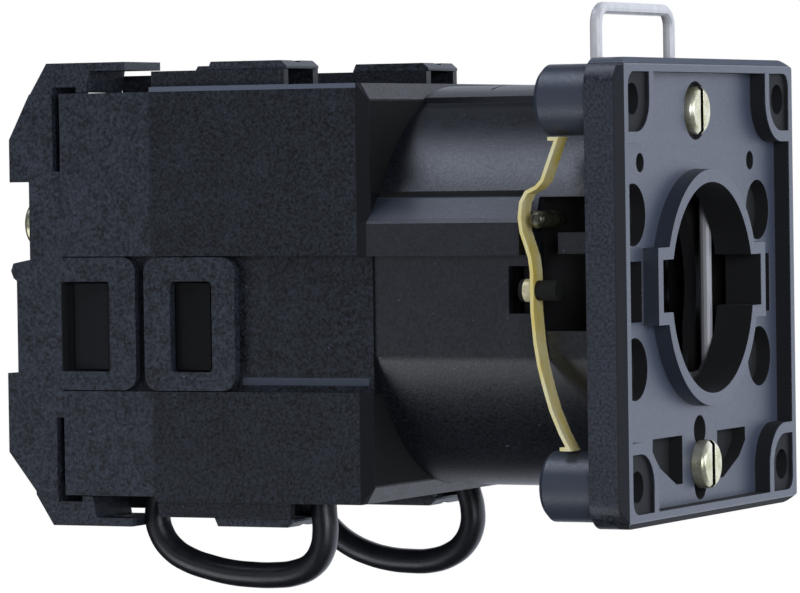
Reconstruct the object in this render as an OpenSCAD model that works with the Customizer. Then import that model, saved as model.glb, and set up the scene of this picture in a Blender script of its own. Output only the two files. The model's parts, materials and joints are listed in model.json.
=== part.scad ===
// Cam switch with a front plate for a 22 mm operator, two contact rows, a detent
// unit and a sprung wire bail. X is the shaft axis with +X to the front, Z is up,
// and the origin is the middle of the opening on the plate's front plane.

/* [Front plate] */
// Width of the front plate
plate_w = 48; // [47.5:0.5:52]
// Height of the front plate
plate_h = 48.6; // [48:0.2:52]
// Thickness of the front plate
plate_t = 4.2; // [4:0.1:5]
// Radius of the plate's corners
plate_corner_r = 3; // [1:0.5:3.5]
// Size of the bevel round the plate's front edge
plate_edge = 0.8; // [0.4:0.1:1]
// Width of the raised rim at the top and the bottom
rim_w = 1.5; // [1.2:0.1:1.8]
// Width of the raised rim along the sides
rim_side_w = 1.9; // [1.4:0.1:2.1]
// Depth of the recessed floor
floor_depth = 1.8; // [1.4:0.1:2]
// Diameter of the operator opening
opening_d = 22.4; // [20:0.2:22.8]
// Width of the collar round the opening
collar_w = 1.4; // [1:0.1:1.8]
// Height of the two bayonet notches
notch_h = 5.5; // [4:0.1:6]
// Distance from the axis to a notch's end
notch_reach = 13.5; // [12.7:0.1:13.6]
// Height of the notches' middle over the axis
notch_rise = 0.5; // [0:0.1:0.8]
// Thickness of the wall round a notch
notch_border = 1.3; // [1:0.1:1.5]
// Distance between corner holes
hole_pitch = 40; // [39.4:0.2:40.4]
// Diameter of the corner holes
hole_d = 3.3; // [2.4:0.1:4]
// Diameter of the bosses behind the corner holes
boss_d = 7.4; // [6.4:0.1:7.6]
// Length of the bosses behind the plate
boss_len = 6; // [4.5:0.5:7]
// Radius of the raised corners round the holes
corner_r = 4.6; // [4.2:0.1:4.8]
// Radius of the shallow step in a raised corner
corner_step_r = 3.4; // [2.6:0.1:3.8]
// Depth of that step
corner_step = 0.5; // [0.3:0.1:0.8]
// Diameter of the four round pockets
pocket_d = 6.5; // [4:0.1:6.8]
// Height of the upper plate screw above the axis
screw_top_z = 18.8; // [18.6:0.1:19.2]
// Drop of the lower plate screw below the axis
screw_low_z = 18.8; // [18.6:0.1:19.2]

/* [Mechanism housing] */
// Diameter of the round housing
mech_d = 42.6; // [41.8:0.2:43]
// Distance between the flats on its sides
mech_flat_w = 40.6; // [40:0.2:40.8]
// Length of the housing behind the plate
mech_len = 26; // [25.4:0.1:29]
// Thickness of the housing's walls
mech_wall = 2; // [1.6:0.1:2.3]
// Depth of the space for the operator's neck
neck_depth = 7.6; // [7:0.1:8.5]

/* [Contact block] */
// How far the main block's sides stand out past the rear deck
block_proud_y = 0.4; // [0.2:0.1:1]
// How far its top and bottom stand out past the rear deck
block_proud_z = 0.5; // [0.2:0.1:1]
// Length of the main block
block_len = 25.7; // [25.2:0.1:28]
// Width of the rear deck
deck_w = 43.2; // [42.6:0.2:43.8]
// Height of the rear deck
deck_h = 43.4; // [42.8:0.2:44]
// Length of the rear deck
deck_len = 11.3; // [11:0.1:12.6]
// Depth of the recess along each side
side_recess = 1.4; // [1.2:0.1:1.6]
// Thickness of the block's side walls behind the recess
side_wall = 1.2; // [1:0.1:1.5]
// Thickness of the block's top and bottom walls
roof_wall = 2.7; // [2.4:0.1:2.9]
// Distance of the terminals from the block's sides
term_inset = 4.1; // [3.9:0.1:4.3]
// Thickness of the walls across the shaft
cross_wall = 1.5; // [1.2:0.1:1.8]
// Length of the bevels round the block's front end
block_bevel = 1; // [0.6:0.1:1.2]
// Height of the terminal bank above the block
bank_h = 1.7; // [1.2:0.1:2]
// Distance between the two contact rows
row_pitch = 19.4; // [18.8:0.1:20]

/* [Rear cover] */
// Thickness of the rear cover at its screws
cover_t = 3.9; // [3.6:0.1:4.4]
// Height of the rear pads over the screw floor
cover_pad = 3; // [2.6:0.1:3.2]
// Thickness of the cover's roofs over the terminals
roof_t = 0.9; // [0.8:0.1:1.1]

/* [Shaft and cams] */
// Diameter of the shaft
shaft_d = 6; // [5.4:0.1:6.4]
// Distance between the shaft's flats
shaft_flat_w = 5; // [4.4:0.1:5.2]
// Low radius of a cam
cam_low_r = 6.4; // [6:0.1:6.5]
// Rise of a cam over a quarter turn
cam_lift = 1.6; // [1.2:0.1:1.7]
// Thickness of a cam
cam_t = 5; // [4:0.2:5.2]
// Radius over the crests of the detent wheel
detent_r = 8.5; // [7.5:0.1:8.8]
// Depth of a detent notch
detent_depth = 0.5; // [0.3:0.1:0.6]
// Angle that the shaft turns
turn_angle = 90; // [80:1:92]

/* [Contacts] */
// Length of a moving contact bridge
bridge_len = 24; // [22:0.5:25]
// Width of the contact strips along the shaft
strip_w = 4.4; // [3.6:0.2:4.8]
// Thickness of the contact strips
strip_t = 0.8; // [0.6:0.1:0.9]
// Diameter of a terminal screw's head
term_head_d = 4.6; // [4:0.1:4.8]

/* [Springs and bail] */
// Diameter of the bail's wire
bail_wire_d = 1.3; // [1:0.1:1.5]
// Half the distance between the bail's legs
bail_half_w = 9.8; // [9.4:0.1:10]
// Height of the bail's top over the axis
bail_top_z = 30.4; // [29.5:0.1:32]
// Travel of the bail
bail_travel = 4; // [3:0.5:4.5]
// Thickness of the leaf springs
leaf_t = 0.4; // [0.3:0.05:0.5]
// Width of the leaf springs
leaf_w = 2.4; // [2:0.1:2.6]
// Diameter of the jumper wires over their insulation
link_d = 2.8; // [2.4:0.1:3]

/* [Clearances] */
// Radial clearance of turning and sliding fits
run_gap = 0.05; // [0.03:0.01:0.08]
// Clearance between seated pieces
seat_gap = 0.1; // [0.05:0.01:0.15]
// Clearance between a cam and its follower
cam_gap = 0.08; // [0.05:0.01:0.12]

/* [Hidden] */
$fn = 48;
eps = 0.01;
far = 60;

// Stations along the shaft
plate_back = -plate_t;
mech_back = plate_back - mech_len;
block_back = mech_back - block_len;
deck_back = block_back - deck_len;
cover_floor = deck_back - cover_t;
cover_back = cover_floor - cover_pad;
row_setback = 5.6;
row_a = block_back - row_setback;
row_b = row_a + row_pitch;
block_w = deck_w + 2 * block_proud_y;
block_h = deck_h + 2 * block_proud_z;
bank_top = block_h / 2 + bank_h;

// Pockets in the front plate
pocket_floor = -floor_depth - 1.6;
side_pocket_y = notch_reach + notch_border + 0.2;
side_pocket_w = 5.4;
side_pocket_h = 6.3;
round_pocket_y = 17.1;
round_pocket_z = 8;
pilot_r = 1;
pilot_y = 15.1;
pilot_z = 13.4;

// Chambers
chamber_y = deck_w / 2 - side_recess - side_wall;
chamber_z = deck_h / 2 - roof_wall;

// Terminal wells, measured from their row and the middle planes
term_y = deck_w / 2 - term_inset;
well_before = 2.8;
well_after = row_setback;
well_half_w = 2.9;
well_wall = 1.2;
well_floor = chamber_z - 4.5;
well_floor_t = 1;
wire_dx = 4;
clamp_h = 3.3;
clamp_margin = 0.2;
roof_reach = 2.4;
roof_before = 7.1;
bank_y0 = term_y - well_half_w - well_wall;
bank_y1 = term_y + well_half_w + 1;
driver_r = 1.9;

// Contacts in the chambers
strip_floor = 10.4;
ledge_t = 1;
strip_in = 8.6;
strip_leg_y = term_y + 0.4;
tip_r = 1.4;
tip_h = 0.4;
contact_gap = 0.1;
bridge_t = 0.9;
bridge_tip_h = 0.5;
bridge_z = strip_floor + strip_t + tip_h + contact_gap + bridge_tip_h;
follower_r = 1.5;
follower_z = cam_low_r + cam_gap + follower_r;
post_r = 1.4;
post_room = 1.2;
post_len = chamber_z - bridge_z - cam_lift - post_room;
stem_x = 2.2;
stem_half_w = 1.5;
stem_guide_y = stem_half_w + seat_gap;
guide_z0 = 9;
guide_z1 = 10.9;
guide_wall = 1.2;

// Shaft line
shaft_r = shaft_d / 2;
journal_r = shaft_r - 0.55;
journal_len = 3.2;
cam_high_r = cam_low_r + cam_lift;
cam_step = 6;
sleeve_r = shaft_r + 1.2;
sleeve_hole_r = sleeve_r + 0.4;

// Mechanism, measured back from the plate
neck_back = plate_back - neck_depth;
coupling_front = neck_back + 0.3;
bearing_t = 1.6;
bearing_front = neck_back - 0.4;
bearing_back = bearing_front - bearing_t;
hub_r = 8;
hub_bore_r = hub_r + run_gap;
socket_w = 7.2;
flange_r = 9.5;
flange_front = bearing_back - 0.4;
flange_t = 1.8;
coupling_back = flange_front - flange_t - 4;
socket_depth = 4.5;
stop_r = 13;
stop_half = 10;
stop_rest = 200;
stop_post_r = 1.2;
stop_post_at = flange_r + 2.3;
wheel_front = coupling_back - 0.6;
wheel_t = 6;
wheel_back = wheel_front - wheel_t;
wheel_mid = wheel_front - wheel_t / 2;
wheel_notch_r = 2.3;
roller_r = 2;
roller_gap = 0.3;
roller_z = detent_r + roller_gap + roller_r;
slide_half_w = 4;
slide_guide_y = slide_half_w + seat_gap;
slide_z0 = roller_z - 0.4;
slide_z1 = roller_z + 3;
mech_r = mech_d / 2;
mech_in_r = mech_r - mech_wall - 0.2;
spring_end_z = mech_in_r - 0.2;
band_rise = 0.6;
band_half_w = 7.3;

// Side windows, springs and pins on the round housing
window_front = plate_back - 0.8;
window_back = plate_back - 7.4;
window_low = -3.9;
window_high = 10;
window_bar_x = plate_back - 4.7;
window_bar_low = 4.1;
window_bar_high = 6.3;
slot_back = plate_back - 10.4;
slot_low = -2.1;
slot_high = 2.85;
liner_y = mech_flat_w / 2 - 3.3;
liner_t = 0.8;
liner_low = -7;
liner_high = 11.6;
rib_low = 4;
rib_high = 10.2;
rib_front = plate_back - 8.4;
leaf_y0 = mech_flat_w / 2 + 0.2;
leaf_tab_z = hole_pitch / 2 - boss_d / 2 - seat_gap - leaf_t / 2;
leaf_tab_x = plate_back - 3.6;
leaf_low_x = plate_back - 2.7;
leaf_tab_len = 1;
pin_x = plate_back - 6;
pin_z = 7.7;
pin_r = 0.9;
rivet_z = 0.35;
rivet_r = 1.2;
rivet_head_len = 1.4;
rivet_end_r = 1.05;
rivet_end_len = 2.4;
rivet_shank_r = 0.6;
leaf_mid_x = pin_x - 0.6;

// Latch loops on the rear cover and the rear deck, with the recess they lie in
loop_low = -10.3;
loop_h = rib_low - loop_low;
loop_mid_z = (rib_low + loop_low) / 2;
loop_window_h = 9.7;
loop_rise = 0.1;
loop_a_x0 = deck_back - 1.3;
loop_a_x1 = deck_back + 9;
loop_a_y = deck_w / 2 - side_recess + loop_rise;
loop_a_win0 = deck_back - 0.1;
loop_a_win1 = deck_back + 5.8;
loop_b_lap = 1.1;
loop_b_len = 9.9;
loop_b_frame = 2.1;
loop_b_window = 5;
loop_b_x0 = block_back - loop_b_lap;
loop_b_x1 = block_back + loop_b_len;
loop_b_y = block_w / 2 - side_recess + loop_rise;
loop_b_win0 = block_back + loop_b_frame;
loop_b_win1 = loop_b_win0 + loop_b_window;

// Bail, with straight legs just behind the plate
bail_r = bail_wire_d / 2;
bail_leg_x = plate_back - seat_gap - bail_r;
bail_top_x = plate_back - 4.7;
bail_bend = 1.8;
bail_step_z0 = 14;
bail_step_z1 = 19;
bail_low_z = -8.5;
bail_hook_x = plate_back - 5.8;
bail_slot = bail_r + 0.3;
ring_front = plate_back - 2.6;
ring_t = 1.4;
ring_r = opening_d / 2 + 0.3;

// Fasteners
screw_r = 1.45;
screw_hole_r = screw_r + run_gap;
head_r = 2.6;
head_t = 1.6;
head_gap = 0.5;
top_seat = -floor_depth - 0.8;
slot_w = 0.8;
tower_r = screw_r + 1.35;
screw_len = 7.8;
tie_y = chamber_y - 2.5;
tie_z = 7.6;
tie_head_r = 2.7;
tie_head_t = 2.2;

// Routes of the two jumper wires, as X and Z of their middle lines
link_top = -(well_floor + clamp_h + 0.2);
link_near_route = [
    [-57.5, -18], [-57.5, -20], [-57.7, -22], [-58.1, -24], [-57.6, -26], [-56.2, -27.7],
    [-54.2, -28.8], [-51.8, -29.5], [-49.2, -30], [-46.6, -30.2], [-44, -30.2],
    [-41.5, -29.9], [-39.4, -29], [-38.2, -27.4], [-37.8, -25.4], [-37.9, -23.4],
    [-38, -21.6], [-38.1, -19.8], [-38.1, -18]];
link_far_route = [
    [-57.5, -18], [-57.5, -20], [-57.4, -22], [-57, -24.2], [-56, -26.4], [-54.4, -28.2],
    [-52.4, -29.6], [-50, -30.6], [-47.4, -31.2], [-44.8, -31.4], [-42.2, -31.3],
    [-39.8, -30.6], [-38, -29.3], [-37, -27.4], [-36.9, -25.2], [-37.4, -23.2],
    [-37.9, -21.4], [-38.1, -19.8], [-38.1, -18]];
link_sides = 8;

// A block between two corners
module block(x0, x1, y0, y1, z0, z1) {
    translate([x0, y0, z0]) cube([x1 - x0, y1 - y0, z1 - z0]);
}

// A rod along the shaft axis, at a place across it
module rod_x(x0, x1, r, y = 0, z = 0) {
    translate([x0, y, z]) rotate([0, 90, 0]) cylinder(r = r, h = x1 - x0);
}

// A rod along the width
module rod_y(y0, y1, r, x, z) {
    translate([x, y1, z]) rotate([90, 0, 0]) cylinder(r = r, h = y1 - y0);
}

// A rod along the height
module rod_z(z0, z1, r, x, y) {
    translate([x, y, z0]) cylinder(r = r, h = z1 - z0);
}

// An outline in Y and Z, drawn along the shaft
module along_x(x0, x1) {
    translate([x0, 0, 0]) rotate([90, 0, 90]) linear_extrude(x1 - x0) children();
}

// An outline in X and Z, drawn across the width
module along_y(y0, y1) {
    translate([0, y1, 0]) rotate([90, 0, 0]) linear_extrude(y1 - y0) children();
}

module both_sides() {
    children();
    mirror([0, 1, 0]) children();
}

module top_and_low() {
    children();
    mirror([0, 0, 1]) children();
}

module four_ways() {
    both_sides() top_and_low() children();
}

module round_rect(w, h, r) {
    square([w - 2 * r, h], center = true);
    square([w, h - 2 * r], center = true);
    for (i = [-1, 1], j = [-1, 1])
        translate([i * (w / 2 - r), j * (h / 2 - r)]) circle(r = r);
}

// A tube swept along points, each with its own sideways direction
module tube(points, sideways, r, sides) {
    n = len(points);
    function dir(i) = let (d = points[min(i + 1, n - 1)] - points[max(i - 1, 0)]) d / norm(d);
    function flat(i) = let (s = sideways[i] - (sideways[i] * dir(i)) * dir(i)) s / norm(s);
    rings = [for (i = [0:n - 1], k = [0:sides - 1])
        points[i] + r * (cos(360 * k / sides) * flat(i) + sin(360 * k / sides) * cross(dir(i), flat(i)))];
    walls = [for (i = [0:n - 2], k = [0:sides - 1], half = [0, 1])
        let (a = i * sides + k, b = i * sides + (k + 1) % sides)
        half == 0 ? [a, a + sides, b] : [b, a + sides, b + sides]];
    first = [for (k = [0:sides - 1]) k];
    last = [for (k = [sides - 1:-1:0]) (n - 1) * sides + k];
    polyhedron(rings, concat([first], walls, [last]), convexity = 8);
}

// A coil spring standing along Z
module coil(x, z0, z1, r, wire_r, turns) {
    steps = 10;
    count = floor(min(turns, (z1 - z0) / (2.4 * wire_r)) * steps);
    points = [for (i = [0:count]) let (a = 360 * i / steps)
        [x + r * cos(a), r * sin(a), z0 + wire_r + (z1 - z0 - 2 * wire_r) * i / count]];
    outward = [for (i = [0:count]) let (a = 360 * i / steps) [cos(a), sin(a), 0]];
    tube(points, outward, wire_r, 6);
}

// Front plate

module plate_outline() {
    round_rect(plate_w, plate_h, plate_corner_r);
}

module inside_rim() {
    round_rect(plate_w - 2 * rim_side_w, plate_h - 2 * rim_w, plate_corner_r - rim_w);
}

// The four corners round the holes, squared off towards the rim
module corners(r) {
    for (i = [-1, 1], j = [-1, 1]) translate([i * hole_pitch / 2, j * hole_pitch / 2]) {
        circle(r = r);
        translate([i * r / 2, 0]) square([r, 2 * r], center = true);
        translate([0, j * r / 2]) square([2 * r, r], center = true);
    }
}

// What stays at full height round the recessed floor
module plate_raised() {
    difference() {
        plate_outline();
        inside_rim();
    }
    circle(r = opening_d / 2 + collar_w);
    translate([0, notch_rise])
        square([2 * (notch_reach + notch_border), notch_h + 2 * notch_border], center = true);
    corners(corner_r);
}

// The plate's body, bevelled round its front edge
module plate_body() {
    half_w = plate_w / 2;
    half_h = plate_h / 2;
    intersection() {
        along_x(plate_back, 0) plate_outline();
        along_y(-half_w, half_w) polygon([
            [plate_back, -half_h], [-plate_edge, -half_h], [0, -half_h + plate_edge],
            [0, half_h - plate_edge], [-plate_edge, half_h], [plate_back, half_h]]);
        translate([0, 0, -half_h]) linear_extrude(plate_h) polygon([
            [plate_back, -half_w], [-plate_edge, -half_w], [0, -half_w + plate_edge],
            [0, half_w - plate_edge], [-plate_edge, half_w], [plate_back, half_w]]);
    }
}

// One of the pair of pockets beside the lower screw
module plate_cheek_pocket() {
    translate([0, 0.3 - screw_low_z])
        polygon([[4.8, 3], [12.7, 3], [12.8, 1.6], [10.9, -0.1], [6.4, -2.1], [4.8, -2.1]]);
}

module front_plate() {
    color("#3a3f49") difference() {
        union() {
            plate_body();
            four_ways() {
                rod_x(plate_back - boss_len + 0.6, plate_back + 1, boss_d / 2,
                    hole_pitch / 2, hole_pitch / 2);
                translate([plate_back - boss_len, hole_pitch / 2, hole_pitch / 2]) rotate([0, 90, 0])
                    cylinder(r1 = boss_d / 2 - 0.6, r2 = boss_d / 2, h = 0.6);
            }
        }
        along_x(-floor_depth, 1) difference() {
            plate_outline();
            plate_raised();
        }
        along_x(-corner_step, 1) intersection() {
            corners(corner_step_r);
            inside_rim();
        }
        rod_x(plate_back - 1, 1, opening_d / 2);
        block(plate_back - 1, 1, -notch_reach, notch_reach,
            notch_rise - notch_h / 2, notch_rise + notch_h / 2);
        four_ways() {
            rod_x(plate_back - boss_len - 1, 1, hole_d / 2, hole_pitch / 2, hole_pitch / 2);
            rod_x(pocket_floor, 0, pocket_d / 2, round_pocket_y, round_pocket_z);
        }
        both_sides() {
            rod_x(plate_back - 1, 0, pilot_r, pilot_y, pilot_z);
            along_x(pocket_floor, 0) plate_cheek_pocket();
            block(pocket_floor, 0, side_pocket_y, side_pocket_y + side_pocket_w,
                -side_pocket_h / 2, side_pocket_h / 2);
        }
        rod_x(top_seat, 0, head_r + head_gap, 0, screw_top_z);
        for (z = [screw_top_z, -screw_low_z]) rod_x(plate_back - 1, 0, screw_r + 0.15, 0, z);
        rod_x(pocket_floor, 0, 1.6, 0, -screw_low_z + 3.6);
        rod_x(pocket_floor, 0, 1.6, 0, -screw_low_z - 2.2);
    }
}

module slotted_screw(x_face, y, z, r, t, length) {
    difference() {
        union() {
            rod_x(x_face - t, x_face - 0.4, r, y, z);
            translate([x_face - 0.4, y, z]) rotate([0, 90, 0]) cylinder(r1 = r, r2 = r - 0.4, h = 0.4);
            rod_x(x_face - t - length, x_face - t + eps, screw_r, y, z);
        }
        block(x_face - 0.8, x_face + 1, y - slot_w / 2, y + slot_w / 2, z - r - 1, z + r + 1);
    }
}

module plate_screws() {
    color("#cfc27a") {
        slotted_screw(top_seat + head_t, 0, screw_top_z, head_r, head_t, screw_len);
        slotted_screw(-floor_depth + head_t, 0, -screw_low_z, head_r, head_t, screw_len);
    }
}

// Mechanism housing

module mech_section(r, half_w) {
    intersection() {
        circle(r = r, $fn = 96);
        square([2 * half_w, 3 * r], center = true);
    }
}

module rib_outline() {
    y0 = mech_flat_w / 2 - 2.9;
    y1 = block_w / 2;
    polygon([[y0, rib_low], [y1, rib_low], [y1, 7.4], [y0 + 1.6, rib_high], [y0, rib_high]]);
}

// Raised band along the top of the round housing, curved with it, with a groove across it
module mech_band() {
    along_x(mech_back, plate_back) intersection() {
        circle(r = mech_r + band_rise, $fn = 96);
        translate([-band_half_w, mech_r - 6]) square([2 * band_half_w, 8]);
    }
}

module band_groove() {
    block(mech_back + 6.5, mech_back + 6.8, -band_half_w - 1, band_half_w + 1,
        mech_r + 0.1, far);
}

module mechanism_housing() {
    color("#33373f") difference() {
        union() {
            difference() {
                union() {
                    along_x(mech_back, plate_back) mech_section(mech_r, mech_flat_w / 2);
                    both_sides() along_x(mech_back, rib_front) rib_outline();
                    mech_band();
                }
                band_groove();
                along_x(mech_back + mech_wall, plate_back + 1)
                    mech_section(mech_in_r, mech_flat_w / 2 - mech_wall);
            }
            along_x(ring_front - ring_t, ring_front) difference() {
                mech_section(mech_in_r + 0.2, mech_flat_w / 2 - mech_wall + 0.2);
                circle(r = ring_r, $fn = 96);
            }
            along_x(bearing_back - 1.2, bearing_back - seat_gap) difference() {
                mech_section(mech_in_r + 0.2, mech_flat_w / 2 - mech_wall + 0.2);
                circle(r = mech_in_r - 1.8, $fn = 96);
            }
            intersection() {
                along_x(mech_back, plate_back) mech_section(mech_r, mech_flat_w / 2);
                union() {
                    both_sides() block(bearing_front + seat_gap, plate_back, liner_y - liner_t, liner_y,
                        liner_low, liner_high);
                    rod_x(neck_back - 0.1, plate_back, tower_r, 0, screw_top_z);
                    rod_x(neck_back - 0.1, plate_back, tower_r, 0, -screw_low_z);
                    for (s = [-1, 1])
                        rod_x(mech_back + 1, mech_back + mech_wall + 3, tower_r, s * tie_y, -s * tie_z);
                    four_ways() block(wheel_back - 0.6, wheel_front + 0.6, slide_guide_y,
                        slide_guide_y + guide_wall, slide_z0 - 1, mech_r - 1);
                }
            }
        }
        rod_x(mech_back - 1, mech_back + mech_wall + 1, shaft_r + run_gap);
        both_sides() {
            block(slot_back, window_front, liner_y, far, slot_low, slot_high);
            difference() {
                block(window_back, window_front, liner_y, far, window_low, window_high);
                block(window_bar_x, plate_back, liner_y + 1.3, far, window_bar_low, window_bar_high);
            }
            rod_y(liner_y - liner_t - 1, far, pin_r + run_gap, pin_x, pin_z);
            block(bail_top_x - bail_slot, plate_back + 1, bail_half_w - bail_slot, bail_half_w + bail_slot,
                bail_step_z0 - 1.5, far);
            block(bail_hook_x - 0.6, ring_front + 1, bail_half_w - bail_slot, bail_half_w + bail_slot,
                bail_low_z - 3, bail_low_z + bail_travel + 1.5);
        }
        rod_x(neck_back - 0.5, plate_back + 1, screw_hole_r, 0, screw_top_z);
        rod_x(neck_back - 0.5, plate_back + 1, screw_hole_r, 0, -screw_low_z);
        for (s = [-1, 1])
            rod_x(mech_back - 1, mech_back + mech_wall + 4, screw_hole_r, s * tie_y, -s * tie_z);
    }
}

module bearing_plate() {
    color("#2b2e34") {
        difference() {
            along_x(bearing_back, bearing_front)
                mech_section(mech_in_r - seat_gap, mech_flat_w / 2 - mech_wall - seat_gap);
            rod_x(bearing_back - 1, bearing_front + 1, hub_bore_r);
        }
        for (a = [stop_rest - stop_half - 7, stop_rest + turn_angle + stop_half + 7])
            rod_x(flange_front - flange_t, bearing_back + eps, stop_post_r,
                stop_post_at * cos(a), stop_post_at * sin(a));
    }
}

// Leaf springs, their pins and rivets

leaf_line = [
    [leaf_tab_x - leaf_tab_len, leaf_tab_z], [leaf_tab_x, leaf_tab_z], [pin_x + 0.7, pin_z + 4],
    [pin_x, pin_z + 3.3], [pin_x - 1.1, pin_z + 2.8], [pin_x - 1.7, pin_z + 1.8],
    [pin_x - 1.9, pin_z + 0.2], [pin_x - 1.7, pin_z - 1.3], [pin_x - 1.2, pin_z - 2.7],
    [pin_x - 0.8, pin_z - 3.9], [leaf_mid_x, pin_z - 5.4], [leaf_mid_x, rivet_z - 2],
    [leaf_mid_x + 0.3, rivet_z - 5.4], [leaf_mid_x + 0.7, rivet_z - 7.8],
    [leaf_mid_x + 1.3, rivet_z - 10.1], [leaf_mid_x + 2, rivet_z - 12.4],
    [leaf_mid_x + 3, rivet_z - 14.7], [leaf_low_x, -leaf_tab_z], [leaf_low_x - leaf_tab_len, -leaf_tab_z]];

function edge_dir(p, i, j) = (p[j] - p[i]) / norm(p[j] - p[i]);
function miter(p, i) = let (
    a = edge_dir(p, max(i - 1, 0), max(i, 1)),
    b = edge_dir(p, min(i, len(p) - 2), min(i + 1, len(p) - 1)),
    m = [-a.y - b.y, a.x + b.x])
    m / (m * [-a.y, a.x]);

module leaf_spring() {
    last = len(leaf_line) - 1;
    one_side = [for (i = [0:last]) leaf_line[i] + leaf_t / 2 * miter(leaf_line, i)];
    other_side = [for (i = [last:-1:0]) leaf_line[i] - leaf_t / 2 * miter(leaf_line, i)];
    difference() {
        along_y(leaf_y0, leaf_y0 + leaf_w) polygon(concat(one_side, other_side));
        rod_x(leaf_mid_x - 1, leaf_mid_x + 1, rivet_shank_r + run_gap, leaf_y0 + leaf_w / 2, rivet_z);
    }
}

module leaf_spring_near() {
    color("#d8c766") mirror([0, 1, 0]) leaf_spring();
}

module leaf_spring_far() {
    color("#d8c766") leaf_spring();
}

module leaf_pins() {
    color("#b9bbc0") both_sides() {
        rod_y(liner_y - liner_t, leaf_y0 + leaf_w - 0.4, pin_r, pin_x, pin_z);
        translate([pin_x, leaf_y0 + leaf_w - 0.4, pin_z]) rotate([-90, 0, 0])
            cylinder(r1 = pin_r, r2 = pin_r - 0.4, h = 0.4);
    }
}

module leaf_rivets() {
    y = leaf_y0 + leaf_w / 2;
    color("#d8c766") both_sides() {
        rod_x(leaf_mid_x - leaf_t / 2 - rivet_head_len, leaf_mid_x - leaf_t / 2, rivet_r, y, rivet_z);
        rod_x(leaf_mid_x - leaf_t / 2 - eps, leaf_mid_x + leaf_t / 2 + eps, rivet_shank_r, y, rivet_z);
        rod_x(leaf_mid_x + leaf_t / 2, leaf_mid_x + leaf_t / 2 + rivet_end_len, rivet_end_r, y, rivet_z);
    }
}

// Wire bail

// Middle line of one leg in X and Z, from its hook up to the corner
bail_side = [
    [bail_hook_x, bail_low_z - 1.6], [bail_leg_x - 1.6, bail_low_z - 1.6],
    [bail_leg_x - 0.5, bail_low_z - 1.1], [bail_leg_x, bail_low_z], [bail_leg_x, bail_step_z0 - 0.6],
    [bail_leg_x - 0.4, bail_step_z0 + 0.6], [bail_top_x + 0.4, bail_step_z1 - 0.6],
    [bail_top_x, bail_step_z1 + 0.6]];

module latch_bail() {
    last = len(bail_side) - 1;
    corner_z = bail_top_z - bail_r - bail_bend;
    corner_y = bail_half_w - bail_bend;
    arc = [0:15:90];
    points = concat(
        [for (p = bail_side) [p.x, bail_half_w, p.y]],
        [for (a = arc) [bail_top_x, corner_y + bail_bend * cos(a), corner_z + bail_bend * sin(a)]],
        [for (a = arc) [bail_top_x, -corner_y - bail_bend * sin(a), corner_z + bail_bend * cos(a)]],
        [for (i = [last:-1:0]) [bail_side[i].x, -bail_half_w, bail_side[i].y]]);
    outward = concat(
        [for (p = bail_side) [0, 1, 0]],
        [for (a = arc) [0, cos(a), sin(a)]],
        [for (a = arc) [0, -sin(a), cos(a)]],
        [for (p = bail_side) [0, -1, 0]]);
    color("#b4b5ba") tube(points, outward, bail_r, 12);
}

// Shaft, coupling, spacers, cams and detent

module shaft_section(gap) {
    intersection() {
        circle(r = shaft_r + gap);
        square([shaft_flat_w + 2 * gap, shaft_d * 2], center = true);
    }
}

module shaft() {
    color("#9a9ca2") {
        along_x(deck_back + 0.6, coupling_front - socket_depth - 0.2) shaft_section(0);
        rod_x(deck_back + 0.6 - journal_len, deck_back + 0.6 + eps, journal_r);
    }
}

module shaft_coupling() {
    color("#23252a") difference() {
        union() {
            rod_x(flange_front - eps, coupling_front, hub_r);
            rod_x(flange_front - flange_t, flange_front, flange_r);
            rod_x(coupling_back, flange_front - flange_t + eps, 6);
            along_x(flange_front - flange_t, flange_front) intersection() {
                circle(r = stop_r);
                polygon([[0, 0],
                    stop_r * 1.2 * [cos(stop_rest - stop_half), sin(stop_rest - stop_half)],
                    stop_r * 1.2 * [cos(stop_rest + stop_half), sin(stop_rest + stop_half)]]);
            }
        }
        block(coupling_front - socket_depth, coupling_front + 1, -socket_w / 2, socket_w / 2,
            -socket_w / 2, socket_w / 2);
        along_x(coupling_back - 1, coupling_front - socket_depth + eps) shaft_section(run_gap);
    }
}

module shaft_spacers() {
    spans = [[row_a + cam_t / 2, row_b - cam_t / 2], [row_b + cam_t / 2, mech_back],
        [mech_back + mech_wall, wheel_back]];
    color("#d8d4c8") for (s = spans) difference() {
        rod_x(s[0] + seat_gap, s[1] - seat_gap, sleeve_r);
        rod_x(s[0], s[1], shaft_r + run_gap);
    }
}

// Radius of a cam at an angle, rising over one quarter and falling over another
function cam_radius(a) = let (t = (a % 360 + 360) % 360)
    t < 90 ? cam_low_r + cam_lift * (90 - t) / 90
    : t < 180 ? cam_low_r
    : t < 270 ? cam_low_r + cam_lift * (t - 180) / 90
    : cam_high_r;

module cam(x, turned) {
    along_x(x - cam_t / 2, x + cam_t / 2) difference() {
        polygon([for (a = [0:cam_step:360 - cam_step]) cam_radius(a + turned) * [cos(a), sin(a)]]);
        shaft_section(run_gap);
    }
}

module cam_rear() {
    color("#c8c2b2") cam(row_a, 0);
}

module cam_front() {
    color("#c8c2b2") cam(row_b, 180);
}

module detent_wheel() {
    color("#c8c2b2") along_x(wheel_back, wheel_front) difference() {
        circle(r = detent_r);
        for (a = [0:90:270]) rotate(a) translate([detent_r - detent_depth + wheel_notch_r, 0])
            circle(r = wheel_notch_r);
        shaft_section(run_gap);
    }
}

module detent_slides() {
    color("#c8c2b2") top_and_low() difference() {
        block(wheel_back - 0.2, wheel_front + 0.2, -slide_half_w, slide_half_w, slide_z0, slide_z1);
        rod_x(wheel_back - 1, wheel_front + 1, roller_r + run_gap, 0, roller_z);
    }
}

module detent_rollers() {
    color("#b9bbc0") top_and_low() rod_x(wheel_back + 0.2, wheel_front - 0.2, roller_r, 0, roller_z);
}

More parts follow.
